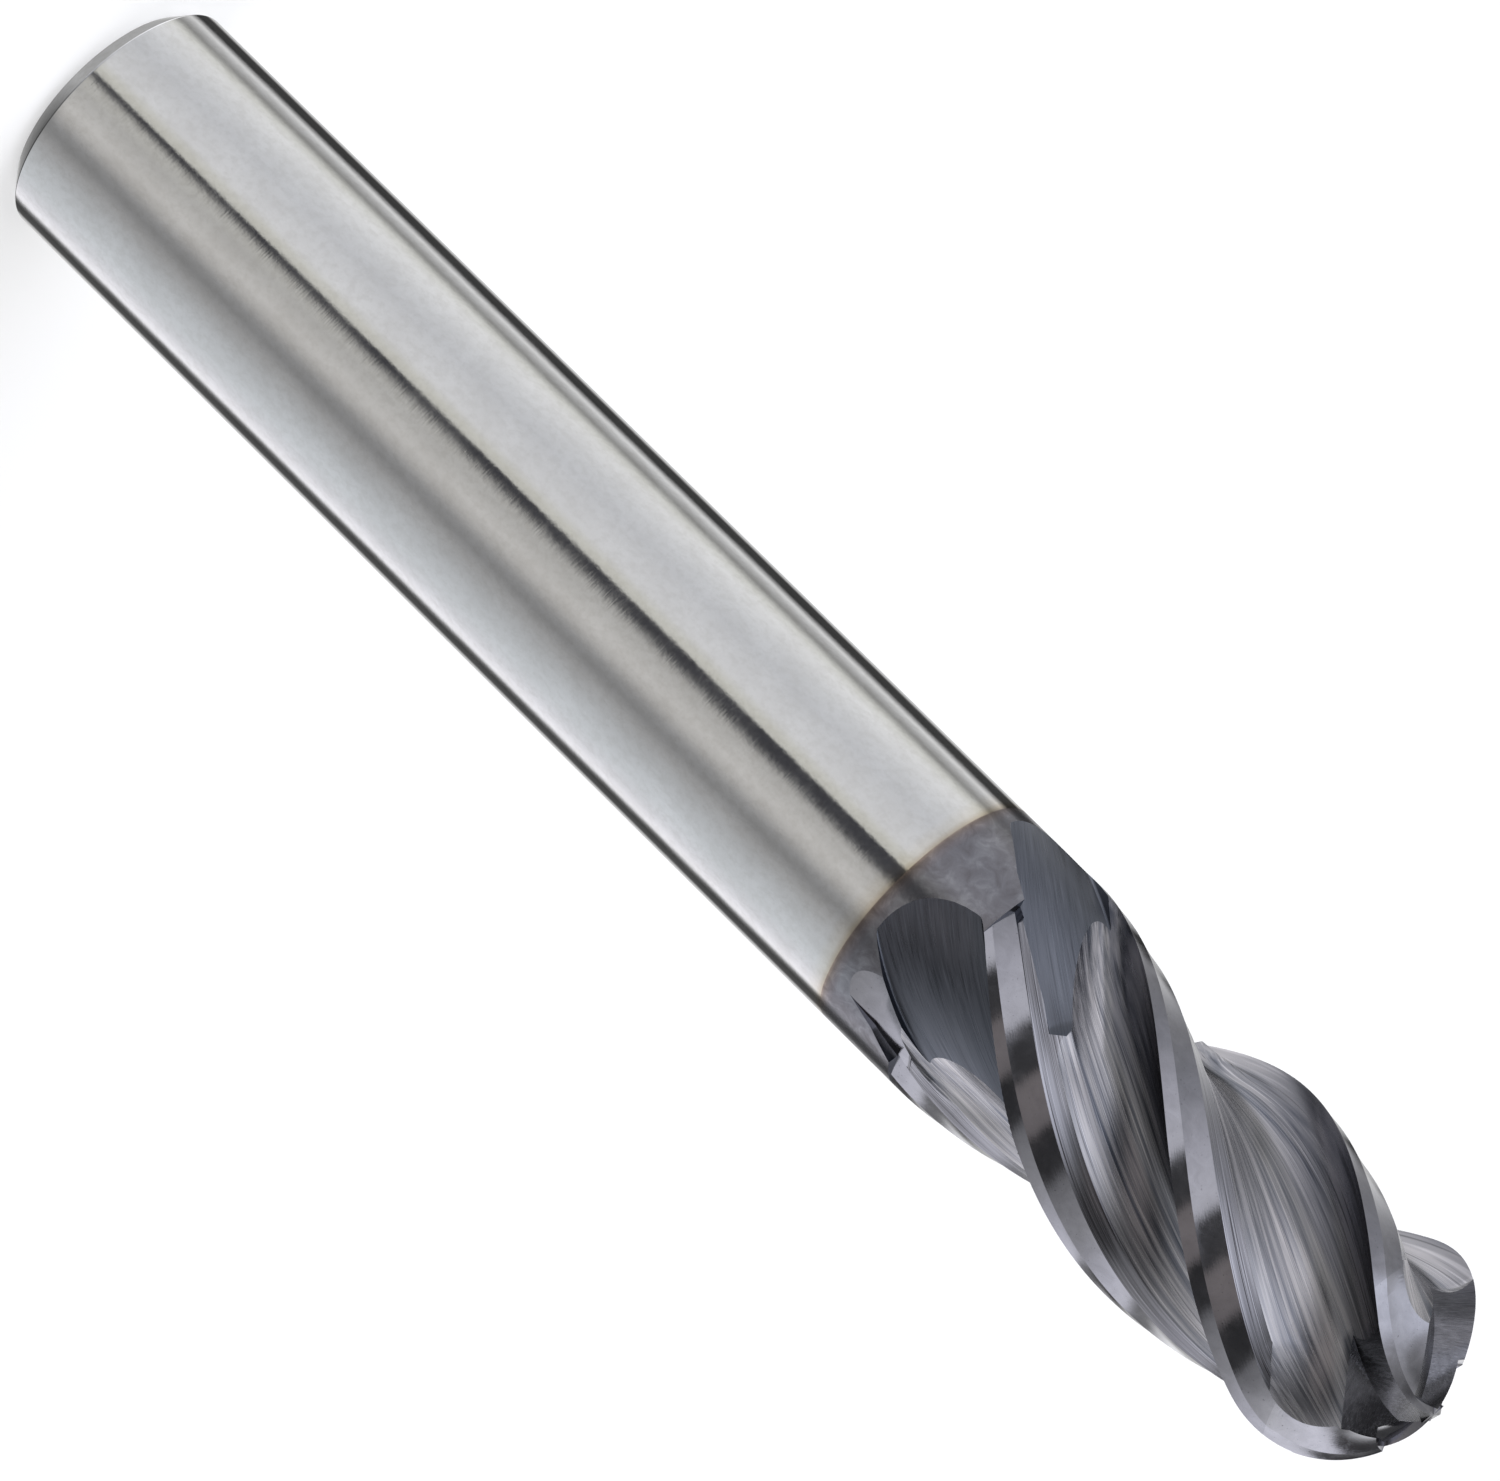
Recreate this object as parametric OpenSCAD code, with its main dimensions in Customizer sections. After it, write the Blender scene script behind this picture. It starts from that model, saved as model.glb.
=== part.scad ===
// Four-flute ball-nose end mill, solid carbide, right-hand cut and right-hand helix.
// It stands on its shank end: the origin is the centre of that end face and the
// tip of the ball points up, along +Z. Lengths are in millimetres.

/* [Tool] */
// Overall length, from the shank end to the tip of the ball
overall_length = 83; // [80:0.5:100]
// Diameter of the shank and of the cutting edges
tool_d = 12; // [10:0.5:14]
// Length of the bare ground shank, up to the edge of the coating
shank_length = 52.2; // [40:0.2:52.4]
// Chamfer at the shank end
shank_chamfer = 0.8; // [0.3:0.1:1.2]

/* [Flutes] */
// Helix angle of the cutting edges
helix_angle = 38; // [32:1:40]
// Turn of the first cutting edge where the ball begins
first_edge_turn = -124.3; // [-180:0.1:180]
// Wide space between two neighbouring cutting edges; it and the next one make up 180
wide_space = 95; // [90:1:98]
// Height of the section in which the flutes begin
run_out_length = 5; // [4:0.5:6]
// Distance from the tip at which the flutes begin to get shallower
full_depth_length = 21.5; // [19:0.5:24]
// Length left round between the edge of the coating and the first flute
plain_collar = 0.5; // [0.3:0.1:1]
// Hook angle of the rake face
rake_angle = 8; // [4:1:12]
// Depth of the flutes below the cutting edges
flute_depth = 2.3; // [2.1:0.05:2.4]

/* [Lands] */
// Angle taken by the primary relief behind each cutting edge
primary_angle = 8; // [6:0.5:10]
// Drop of the primary relief over its width
primary_drop = 0.14; // [0.08:0.01:0.2]
// Angle taken by the secondary relief
secondary_angle = 13.5; // [10:0.5:15]
// Drop from the cutting edge to the end of the secondary relief
secondary_drop = 0.58; // [0.45:0.01:0.7]
// Angle taken by the heel clearance
heel_angle = 8.5; // [6:0.5:10]
// Drop from the cutting edge to the end of the heel clearance
heel_drop = 1.15; // [0.9:0.05:1.3]

/* [Core] */
// Radius of the solid core that carries the teeth
core_radius = 3.1; // [2.8:0.1:3.2]

/* [Hidden] */
$fn = 96;

tool_r = tool_d / 2;
equator_z = overall_length - tool_r;
teeth_z = shank_length + run_out_length;
lead_turn = tan(helix_angle) / tool_r * 180 / PI;
edge_turns = [0, wide_space, 180, 180 + wide_space];
land_angle = primary_angle + secondary_angle + heel_angle;

// The relief facets reach full depth where the teeth start, over this height
relief_fade = 1.2;
relief_start_z = teeth_z - relief_fade;

// The grinding wheel leaves the flutes along an arc of this radius
full_depth_z = overall_length - full_depth_length;
run_out_path = (full_depth_z - shank_length - plain_collar) / cos(helix_angle);
wheel_r = run_out_path * run_out_path / (2 * flute_depth);

// Pulls of the flute curve at its two ends, and the slope of its back at the heel
rake_pull = flute_depth * 1.35;
back_pull = flute_depth * 0.91;
back_slope = 30;

// Places along the flute curve, from 0 at the cutting edge to 1 at the next heel
bottom_step = 0.5;
rake_steps = [0, 0.1, 0.22, 0.36, bottom_step];
back_steps = [bottom_step, 0.64, 0.78, 0.9, 1];
core_steps = 6;

tooth_rows = 20;
collar_rows = 10;
nose_rows = 11;
last_nose_angle = 84;
// The gash deepens the flutes towards the tip by this share
nose_gash = 0.5;

function clamp01(x) = min(1, max(0, x));
function polar(r, a) = [r * cos(a), r * sin(a)];
function turned(p, a) = [p[0] * cos(a) - p[1] * sin(a), p[0] * sin(a) + p[1] * cos(a)];
function turn_of(p) = atan2(p[1], p[0]);
function behind(i) = (i + 3) % 4;
function space_ahead(i) = i % 2 == 0 ? wide_space : 180 - wide_space;
function edge_turn(i, z) = first_edge_turn + edge_turns[i] + lead_turn * (z - equator_z);

// One point of a cubic curve with the control points p
function cubic(p, t) = pow(1 - t, 3) * p[0] + 3 * t * pow(1 - t, 2) * p[1]
                     + 3 * t * t * (1 - t) * p[2] + pow(t, 3) * p[3];

// Section of the flute ahead of tooth i, in the frame of that tooth's cutting edge:
// down the hooked rake face, round the bottom and up the back to the next heel
function heel_turn(i) = space_ahead(i) - land_angle;
function flute_curve(i) =
    let (edge = [tool_r, 0],
         heel = polar(tool_r - heel_drop, heel_turn(i)))
    [edge,
     edge + polar(rake_pull, 180 + rake_angle),
     heel + polar(back_pull, heel_turn(i) - 90 - back_slope),
     heel];

// How far the wheel has lifted out of the flute at a height
function wheel_lift(z) = pow(max(0, full_depth_z - z) / cos(helix_angle), 2) / (2 * wheel_r);

// Keeps a point inside the round blank
function inside_blank(p) = norm(p) > tool_r ? p * tool_r / norm(p) : p;

function flute_point(i, t, z) =
    inside_blank(cubic(flute_curve(i), t) + polar(wheel_lift(z), heel_turn(i) / 2));

function relief_point(drop, angle, z) =
    polar(tool_r - drop * clamp01((z - relief_start_z) / relief_fade), -angle);

// Outline of tooth i at a height, anticlockwise: from the bottom of the flute behind,
// up its back, over the lands and down the rake face to the bottom of the flute ahead
function tooth_outline(i, z) =
    concat(
        [for (t = back_steps) turned(flute_point(behind(i), t, z), -space_ahead(behind(i)))],
        [relief_point(secondary_drop, primary_angle + secondary_angle, z),
         relief_point(primary_drop, primary_angle, z)],
        [for (t = rake_steps) flute_point(i, t, z)]);

// The side of the core under tooth i, clockwise from the flute ahead to the one behind
function core_arc(i, z) =
    let (ahead_turn = turn_of(flute_point(i, bottom_step, z)),
         behind_turn = turn_of(flute_point(behind(i), bottom_step, z)) - space_ahead(behind(i)))
    [for (k = [0 : core_steps])
        polar(core_radius, ahead_turn + (behind_turn - ahead_turn) * k / core_steps)];

// Puts a flat outline of tooth i at its height on the helix
function placed(outline, i, z) =
    [for (p = outline) let (q = turned(p, edge_turn(i, z))) [q[0], q[1], z]];

function without_last(list) = [for (k = [0 : len(list) - 2]) list[k]];

// Outline of the ball at an angle above its equator: the tooth shrinks with the ball
// and the gash cuts deeper towards the tip
function nose_outline(i, angle) =
    [for (p = tooth_outline(i, equator_z))
        let (depth = (1 - norm(p) / tool_r) * (1 + nose_gash * sin(angle)))
        polar(tool_r * cos(angle) * (1 - depth), turn_of(p))];

// Closed solid through rows of anticlockwise outlines with equally many points
module loft(rows, top_point = undef) {
    n = len(rows[0]);
    last = len(rows) - 1;
    sides = [for (j = [0 : last - 1], m = [0 : n - 1])
        let (a = j * n + m, b = j * n + (m + 1) % n, c = b + n, d = a + n)
        each [[a, d, c], [a, c, b]]];
    bottom = [[for (m = [0 : n - 1]) m]];
    flat_top = [[for (m = [n - 1 : -1 : 0]) last * n + m]];
    peak = len(rows) * n;
    pointed_top = [for (m = [0 : n - 1]) [last * n + m, peak, last * n + (m + 1) % n]];
    points = [for (row = rows) each row];
    if (is_undef(top_point)) {
        polyhedron(points = points, faces = concat(sides, bottom, flat_top));
    } else {
        polyhedron(points = concat(points, [top_point]),
                   faces = concat(sides, bottom, pointed_top));
    }
}

module shank() {
    color("Silver")
    rotate_extrude()
        polygon([[0, 0], [tool_r - shank_chamfer, 0], [tool_r, shank_chamfer],
                 [tool_r, shank_length], [0, shank_length]]);
}

// Coated round end of the body in which the four flutes begin
module run_out_collar() {
    step = run_out_length / collar_rows;
    color("DimGray")
    loft([for (j = [0 : collar_rows])
        let (z = shank_length + j * step)
        [for (i = [0 : 3]) each without_last(placed(tooth_outline(i, z), i, z))]]);
}

module core() {
    color("SlateGray")
    translate([0, 0, teeth_z])
        cylinder(h = equator_z - teeth_z, r = core_radius);
}

// One helical tooth between the bottoms of its two flutes, on the core
module tooth(i) {
    step = (equator_z - teeth_z) / tooth_rows;
    color("Gray")
    loft([for (j = [0 : tooth_rows])
        let (z = teeth_z + j * step)
        placed(concat(tooth_outline(i, z), core_arc(i, z)), i, z)]);
}

// The quarter of the ball that carries on from tooth i, up to the tip
module nose_tooth(i) {
    color("DarkGray")
    loft([for (j = [0 : nose_rows])
            let (angle = last_nose_angle * j / nose_rows,
                 z = equator_z + tool_r * sin(angle))
            placed(concat(nose_outline(i, angle), [[0, 0]]), i, z)],
         top_point = [0, 0, overall_length]);
}

shank();
run_out_collar();
core();
tooth(0);  // tooth_1
tooth(1);  // tooth_2
tooth(2);  // tooth_3
tooth(3);  // tooth_4
nose_tooth(0);  // nose_tooth_1
nose_tooth(1);  // nose_tooth_2
nose_tooth(2);  // nose_tooth_3
nose_tooth(3);  // nose_tooth_4
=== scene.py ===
"""Ball-nose end mill: detailed meshes, materials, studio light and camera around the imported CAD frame.

The head is made the way the real one is ground: a round blank loses its relief facets, flutes, run-outs
and end gashes to swept cutters, and is then parted along the borders of the CAD nodes.
Lengths of the tool are in millimetres until a mesh is made, and Blender's objects are in metres.
"""
import math

import bmesh
import bpy
import numpy as np
from mathutils import Matrix, Vector
from mathutils.bvhtree import BVHTree


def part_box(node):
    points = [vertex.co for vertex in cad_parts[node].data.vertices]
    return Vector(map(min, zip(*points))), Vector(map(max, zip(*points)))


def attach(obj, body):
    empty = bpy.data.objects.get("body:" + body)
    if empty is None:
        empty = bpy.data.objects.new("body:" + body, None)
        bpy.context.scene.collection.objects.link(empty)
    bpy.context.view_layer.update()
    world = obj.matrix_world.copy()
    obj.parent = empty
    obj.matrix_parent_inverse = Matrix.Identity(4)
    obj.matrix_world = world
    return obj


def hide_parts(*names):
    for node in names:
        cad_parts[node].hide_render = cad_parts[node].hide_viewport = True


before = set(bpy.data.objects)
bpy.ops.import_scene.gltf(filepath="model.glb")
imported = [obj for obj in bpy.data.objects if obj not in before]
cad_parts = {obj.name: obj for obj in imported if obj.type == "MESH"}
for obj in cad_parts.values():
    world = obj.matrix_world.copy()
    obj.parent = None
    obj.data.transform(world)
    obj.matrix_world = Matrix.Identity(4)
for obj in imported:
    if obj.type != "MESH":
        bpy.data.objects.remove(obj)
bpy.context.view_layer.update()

MM = 0.001


# --- Sizes taken from the frame ---

def top_mm(node):
    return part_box(node)[1].z / MM


TOOL_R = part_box("shank")[1].x / MM
LENGTH = top_mm("nose_tooth_1")
SHANK_TOP = top_mm("shank")
TEETH_Z = top_mm("run_out_collar")
EQUATOR_Z = top_mm("tooth_1")
CORE_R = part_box("core")[1].x / MM

# --- Layout of the ground head ---

TEETH = 4
HELIX = math.radians(38)
LEAD = math.tan(HELIX) / TOOL_R  # radians of turn per millimetre of height
FIRST_EDGE = math.radians(-124.3)  # turn of the first cutting edge where the ball starts
SPACES = [math.radians(a) for a in (95, 85, 95, 85)]  # from each edge to the next
EDGE_TURNS = [FIRST_EDGE + sum(SPACES[:k]) for k in range(TEETH)]

# The land behind an edge, in three facets: how far each reaches around and how deep it ends
PRIMARY = math.radians(8)
SECONDARY = math.radians(13.5)
HEEL = math.radians(8.5)
LAND = PRIMARY + SECONDARY + HEEL
PRIMARY_DROP = 0.14
SECONDARY_DROP = 0.58
HEEL_DROP = 1.15

# Section of a flute: a cubic curve from the cutting edge to the next heel
RAKE = math.radians(8)
RAKE_PULL = 2.75
BACK_PULL = 1.7
BACK_SLOPE = math.radians(48)

# Surfaces of the head: the index is the material slot that the cutter leaves behind
BODY, LANDS, BALL_LANDS, HEELS, FLUTES, RAMPS, GASHES, INNER = range(8)


# --- Meshes ---

ROUND = 360  # facets around a full turn


def polar(r, a):
    return np.array([r * math.cos(a), r * math.sin(a)])


def mesh_object(name, points, faces, face_slots, slots):
    """An object from points in millimetres, with one material slot number per face."""
    mesh = bpy.data.meshes.new(name)
    mesh.from_pydata([tuple(p) for p in points], [], [tuple(int(i) for i in f) for f in faces])
    for material in slots:
        mesh.materials.append(material)
    mesh.polygons.foreach_set("material_index", np.asarray(face_slots, dtype=np.int32))
    mesh.update()
    obj = bpy.data.objects.new(name, mesh)
    bpy.context.scene.collection.objects.link(obj)
    return obj


def ring_faces(rows, count):
    """Quads between rows of closed rings."""
    j, m = np.meshgrid(np.arange(rows - 1), np.arange(count), indexing="ij")
    a = j * count + m
    b = j * count + (m + 1) % count
    return np.stack([a, b, b + count, a + count], -1).reshape(-1, 4)


def split_quads(quads, points):
    """Two triangles a quad, with a diagonal that two solids sharing a wall both choose."""
    radius = np.hypot(points[:, 0], points[:, 1]).round(6)
    a, b, c, d = quads.T
    from_a = (radius[a] >= radius[b])[:, None]
    first = np.where(from_a, np.stack([a, b, c], -1), np.stack([a, b, d], -1))
    second = np.where(from_a, np.stack([a, c, d], -1), np.stack([b, c, d], -1))
    return np.stack([first, second], 1).reshape(-1, 3)


def swept_solid(name, rings, side_slot, cap_slot, slots):
    """Closed solid through rings of equally many points, with one slot for its sides and one for its ends."""
    rings = np.asarray(rings, float)
    rows, count = rings.shape[:2]
    points = rings.reshape(-1, 3)
    sides = split_quads(ring_faces(rows, count), points)
    ends = [rings[0].mean(0), rings[-1].mean(0)]
    first, last = len(points), len(points) + 1
    around = np.arange(count)
    nxt = (around + 1) % count
    base = (rows - 1) * count
    caps = np.concatenate([np.stack([nxt, around, np.full(count, first)], -1),
                           np.stack([base + around, base + nxt, np.full(count, last)], -1)])
    points = np.concatenate([points, ends])
    faces = np.concatenate([sides, caps])
    p = points[faces]
    volume = np.einsum("ij,ij->i", p[:, 0], np.cross(p[:, 1], p[:, 2])).sum() / 6
    if volume < 0:
        faces = faces[:, ::-1]
    face_slots = np.repeat([side_slot, cap_slot], [len(sides), len(caps)])
    return mesh_object(name, points, faces, face_slots, slots)


def revolved_solid(name, outline, slots):
    """Solid of revolution; outline is (r, z) from the axis at the bottom to the axis at the top."""
    count = ROUND
    turns = np.linspace(0, 2 * math.pi, count, endpoint=False)
    inner = outline[1:-1]
    points = [(*polar(r, a), z) for r, z in inner for a in turns]
    points += [(0, 0, outline[0][1]), (0, 0, outline[-1][1])]
    sides = ring_faces(len(inner), count)
    low, high = len(points) - 2, len(points) - 1
    around = np.arange(count)
    nxt = (around + 1) % count
    base = (len(inner) - 1) * count
    faces = list(sides) + [(b, a, low) for a, b in zip(around, nxt)]
    faces += [(base + a, base + b, high) for a, b in zip(around, nxt)]
    return mesh_object(name, points, faces, [BODY] * len(faces), slots)


def cut(target, tools, operation="DIFFERENCE"):
    """Applies booleans with every tool to the target, whose mesh it replaces."""
    for tool in tools:
        mod = target.modifiers.new(tool.name, "BOOLEAN")
        mod.operation = operation
        mod.object = tool
        mod.solver = "MANIFOLD"
    bpy.context.view_layer.update()
    graph = bpy.context.evaluated_depsgraph_get()
    made = bpy.data.meshes.new_from_object(target.evaluated_get(graph))
    target.modifiers.clear()
    old = target.data
    target.data = made
    bpy.data.meshes.remove(old)


def discard(objects):
    for obj in objects:
        mesh = obj.data
        bpy.data.objects.remove(obj)
        bpy.data.meshes.remove(mesh)


# --- Curves and frames of the ground surfaces ---

def ball_r(z):
    """Radius of the blank at a height."""
    return math.sqrt(max(0.0, TOOL_R ** 2 - max(0.0, z - EQUATOR_Z) ** 2))


def edge_turn(tooth, z):
    """Turn of a tooth's cutting edge about the axis at a height."""
    return EDGE_TURNS[tooth] + LEAD * (z - EQUATOR_Z)


def cubic(p, t):
    """Points of a cubic curve with four control points."""
    t = t[:, None]
    return (1 - t) ** 3 * p[0] + 3 * t * (1 - t) ** 2 * p[1] + 3 * t * t * (1 - t) * p[2] + t ** 3 * p[3]


def flute_curve(tooth, count):
    """Section of the flute ahead of a tooth, square to the axis, from the cutting edge to the next heel."""
    heel_turn = SPACES[tooth] - LAND
    edge = np.array([TOOL_R, 0.0])
    heel = polar(TOOL_R - HEEL_DROP, heel_turn)
    control = [edge, edge + polar(RAKE_PULL, math.pi + RAKE),
               heel + polar(BACK_PULL, heel_turn - math.pi / 2 - BACK_SLOPE), heel]
    return cubic(control, np.linspace(0, 1, count))


def path_plane(points, centre_turn, helix):
    """Moves points of a section square to the axis into the plane square to the helical path."""
    lead = math.tan(helix) / TOOL_R
    rounds, stride = 60, 0.6
    made = []
    for x, y in points:
        r = math.hypot(x, y)
        turn = math.atan2(y, x) - centre_turn
        across = 0.0
        for _ in range(rounds):
            goal = r * math.sin(turn - lead * across * math.sin(helix)) / math.cos(helix)
            across += stride * (goal - across)
        made.append((r * math.cos(turn - lead * across * math.sin(helix)), across))
    return np.array(made)


def on_path(section, turn, z, helix):
    """Puts a flat section square to a helical path at one of its stations."""
    out = np.array([*polar(1.0, turn), 0])
    around = np.array([*polar(1.0, turn + math.pi / 2), 0])
    across = math.cos(helix) * around - math.sin(helix) * np.array([0, 0, 1])
    return section[:, :1] * out + section[:, 1:] * across + np.array([0, 0, z])


# --- Cutters ---

OUTSIDE = 9.0  # a radius well clear of the blank

FLUTE_CENTRE = math.radians(25)  # from the cutting edge to the wheel's middle plane
FLUTE_POINTS = 56
FLUTE_START_Z = 54.6
FLUTE_TOP = 88.0
FLUTE_STEP = 0.2
FLUTE_WHEEL_R = 12.0
# Height at which the wheel reaches full depth, by the share of the way from rake face to heel
WIDE_EXIT = ((0, 0.15, 1), (63.0, 66.3, 61.3))
NARROW_EXIT = ((0, 0.8, 1), (60.0, 64.4, 64.0))
# How far the section runs on past its two ends
RAKE_OVERRUN = 1.6
HEEL_OVERRUN = 2.4
# Above this height the wheel moves ahead and a little out, and leaves the edge to the gash
NOSE_SHIFT_Z = 78.8
NOSE_SHIFT = 0.45
NOSE_LIFT = 0.1


def is_wide(tooth):
    """Whether the space ahead of a tooth is one of the two wide ones."""
    return SPACES[tooth] > math.pi / 2


def flute_cutter(tooth, slots):
    """The wheel's sweep along one flute; its arc of exit near the shank runs askew across the flute."""
    curve = flute_curve(tooth, FLUTE_POINTS)
    start = curve[0] + polar(RAKE_OVERRUN, RAKE)
    heel_way = curve[-1] - curve[-2]
    stop = curve[-1] + HEEL_OVERRUN * heel_way / np.linalg.norm(heel_way)
    heel_turn = SPACES[tooth] - LAND
    line = np.concatenate([[start], curve, [stop]])
    closing = [polar(OUTSIDE, heel_turn * 0.75), polar(OUTSIDE, heel_turn * 0.3)]
    section = path_plane(np.concatenate([line, closing]), FLUTE_CENTRE, HELIX)
    share = np.concatenate([[0], np.linspace(0, 1, FLUTE_POINTS), [1, 1, 0]])
    full_z = np.interp(share, *(WIDE_EXIT if is_wide(tooth) else NARROW_EXIT))
    rings = []
    for z in np.arange(FLUTE_START_Z, FLUTE_TOP, FLUTE_STEP):
        lift = (np.maximum(0.0, full_z - z) / math.cos(HELIX)) ** 2 / (2 * FLUTE_WHEEL_R)
        shift = NOSE_SHIFT * max(0.0, z - NOSE_SHIFT_Z)
        moved = section + np.column_stack([lift + NOSE_LIFT * shift, np.full(len(section), shift)])
        rings.append(on_path(moved, edge_turn(tooth, z) + FLUTE_CENTRE, z, HELIX))
    return swept_solid(f"flute_cutter_{tooth}", rings, FLUTES, FLUTES, slots)


RAMP_HELIX = math.radians(40.6)
RAMP_EXIT_Z = 53.65  # where the ramp's floor comes out of the blank; the way s counts from there
RAMP_WAY = (-3.2, 11.5)
RAMP_STEP = 0.3
RAMP_TURN = math.radians(23.7)  # from the cutting edge to the middle of the ramp
NARROW_RAMP_TURN = math.radians(30.5)
RAMP_SLOPE = 0.25
RAMP_CURVE = 120.0
RAMP_HALF = 2.3
RAMP_CORNER = 0.12
RAMP_WALL = 4.0
RAMP_WALL_SPREAD = 0.25
# In a narrow flute the side away from the edge closes in, at this rate from here, and only so far
RAMP_CLOSING = 0.155
RAMP_CLOSING_START = 4.0
RAMP_CLOSED = 0.9
RAMP_LIFT_OUT = 10.4  # from here the wheel lifts out of the flute
RAMP_LIFT_RATE = 0.3


def ramp_cutter(tooth, slots):
    """The nearly straight ramp by which a flat-rimmed wheel leaves the flute."""
    corner = RAMP_CORNER
    arc = np.linspace(0, math.pi / 2, 7)
    left = [(corner - corner * math.sin(a), -RAMP_HALF + corner - corner * math.cos(a)) for a in arc]
    right = [(x, -y) for x, y in reversed(left)]
    floor = np.linspace(left[-1][1], right[0][1], 12)[1:-1]
    wall_y = RAMP_HALF + RAMP_WALL_SPREAD
    section = [(RAMP_WALL, -wall_y)] + left + [(0.0, y) for y in floor] + right + [(RAMP_WALL, wall_y)]
    section = np.array(section)
    narrowing = np.column_stack([np.zeros(len(section)), (section[:, 1] / RAMP_HALF + 1) / 2])
    closing = 0.0 if is_wide(tooth) else RAMP_CLOSING
    middle = RAMP_TURN if is_wide(tooth) else NARROW_RAMP_TURN
    rings = []
    for s in np.arange(*RAMP_WAY, RAMP_STEP):
        depth = RAMP_SLOPE * s - s * s / RAMP_CURVE - RAMP_LIFT_RATE * max(0.0, s - RAMP_LIFT_OUT) ** 2
        z = RAMP_EXIT_Z + s * math.cos(RAMP_HELIX)
        turn = edge_turn(tooth, RAMP_EXIT_Z) + middle + s * math.sin(RAMP_HELIX) / TOOL_R
        closed = min(RAMP_CLOSED, closing * max(0.0, s - RAMP_CLOSING_START))
        moved = section - closed * narrowing + np.array([TOOL_R - depth, 0])
        rings.append(on_path(moved, turn, z, RAMP_HELIX))
    return swept_solid(f"ramp_cutter_{tooth}", rings, RAMPS, RAMPS, slots)


LAND_Z_STEP = 0.25
LAND_ANGLE_STEP = math.radians(1.5)
LAND_MARGIN = 1.4  # how far a land's cutter reaches outside the blank


def land_rows(z_from, top_angle):
    """Stations of the lands: (height, angle above the ball's equator), up the cylinder, then the ball."""
    low = [(z, 0.0) for z in np.arange(z_from, EQUATOR_Z, LAND_Z_STEP)]
    high = [(EQUATOR_Z, a) for a in np.arange(0.0, top_angle, LAND_ANGLE_STEP)]
    return low + high + [(EQUATOR_Z, top_angle)]


def land_cutter(name, tooth, rows, angles, drop_of, slot_of, slots):
    """Shell outside a relieved land: its inner side is the land, drop_of(turn, angle up, height) deep."""
    rings = []
    for z, up in rows:
        height = z + TOOL_R * math.sin(up)
        turn = edge_turn(tooth, height)
        ring = [(TOOL_R - drop_of(a, up, height) * math.cos(up), turn + a) for a in angles]
        ring += [(TOOL_R + LAND_MARGIN, turn + a) for a in reversed(angles)]
        rings.append([(r * math.cos(up) * math.cos(t), r * math.cos(up) * math.sin(t), z + r * math.sin(up))
                      for r, t in ring])
    count = len(rings[0])
    made = swept_solid(name, rings, LANDS, RAMPS, slots)
    row_slot = [slot_of(up) for z, up in rows[1:]]
    index = np.full(len(made.data.polygons), RAMPS, np.int32)
    index[:len(row_slot) * count * 2] = np.repeat(row_slot, count * 2)
    made.data.polygons.foreach_set("material_index", index)
    return made


RELIEF_Z = 56.4
RELIEF_TURNS = (4, 0, -4, -8, -12, -16.5, -21.5, -28, -35, -42)  # degrees from the edge
RELIEF_TOP = math.radians(89)
RELIEF_RISE = 2.5  # how fast the cutter leaves the metal behind the secondary facet
BALL_FACET = math.asin(1.95 / TOOL_R)
BALL_FACET_EASE = math.radians(5)
# Near the tip every second tooth is ground away and stops short of the centre
SHORT_TOOTH_INNER_R = 0.5
SHORT_TOOTH_R = 2.5
SHORT_TOOTH_DROP = 0.42
HEEL_Z = 56.9
HEEL_FULL_Z = 61.0
WIDE_HEEL_FULL_Z = 59.3
HEEL_TOP = math.asin(1.6 / TOOL_R)
HEEL_TURNS = np.linspace(-11, -36, 9)


def chord_drop(a, a1, drop1, a2, drop2):
    """Depth at turn a of the flat facet through two turns where its depths are known."""
    p1 = polar(TOOL_R - drop1, a1)
    way = polar(TOOL_R - drop2, a2) - p1
    normal = np.array([-way[1], way[0]])
    return TOOL_R - normal @ p1 / (normal @ polar(1.0, a))


def relief_drop(a):
    """Depth of the primary and secondary facets at a turn behind the edge."""
    if a > -PRIMARY:
        return chord_drop(a, 0.0, 0.0, -PRIMARY, PRIMARY_DROP)
    return chord_drop(a, -PRIMARY, PRIMARY_DROP, -PRIMARY - SECONDARY, SECONDARY_DROP)


def ball_drop(a):
    """Depth of the relief of the ball, whose two facets melt into one."""
    single = chord_drop(a, 0.0, 0.0, -PRIMARY - SECONDARY, SECONDARY_DROP)
    return (relief_drop(a) + single) / 2


def heel_drop(a):
    """Depth of the heel's facet at a turn behind the edge."""
    return chord_drop(a, -PRIMARY - SECONDARY, SECONDARY_DROP, -LAND, HEEL_DROP)


def relief_cutter(tooth, slots):
    """Primary and secondary relief behind one cutting edge, along the cylinder and over the ball."""
    turns = [math.radians(a) for a in RELIEF_TURNS]
    rows = land_rows(RELIEF_Z, RELIEF_TOP)
    short = tooth % 2 == 1

    def drop_of(a, up, height):
        if up > BALL_FACET:
            near_tip = short and SHORT_TOOTH_INNER_R < TOOL_R * math.cos(up) < SHORT_TOOTH_R
            share = min(1.0, (up - BALL_FACET) / BALL_FACET_EASE)
            drop = relief_drop(a) + share * (ball_drop(a) - relief_drop(a))
            return drop + (SHORT_TOOTH_DROP / math.cos(up) if near_tip else 0.0)
        if a < -PRIMARY - SECONDARY and up <= 0:
            return SECONDARY_DROP + RELIEF_RISE * (a + PRIMARY + SECONDARY)
        return relief_drop(a)

    def slot_of(up):
        return BALL_LANDS if up > BALL_FACET else LANDS

    return land_cutter(f"relief_cutter_{tooth}", tooth, rows, turns, drop_of, slot_of, slots)


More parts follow.
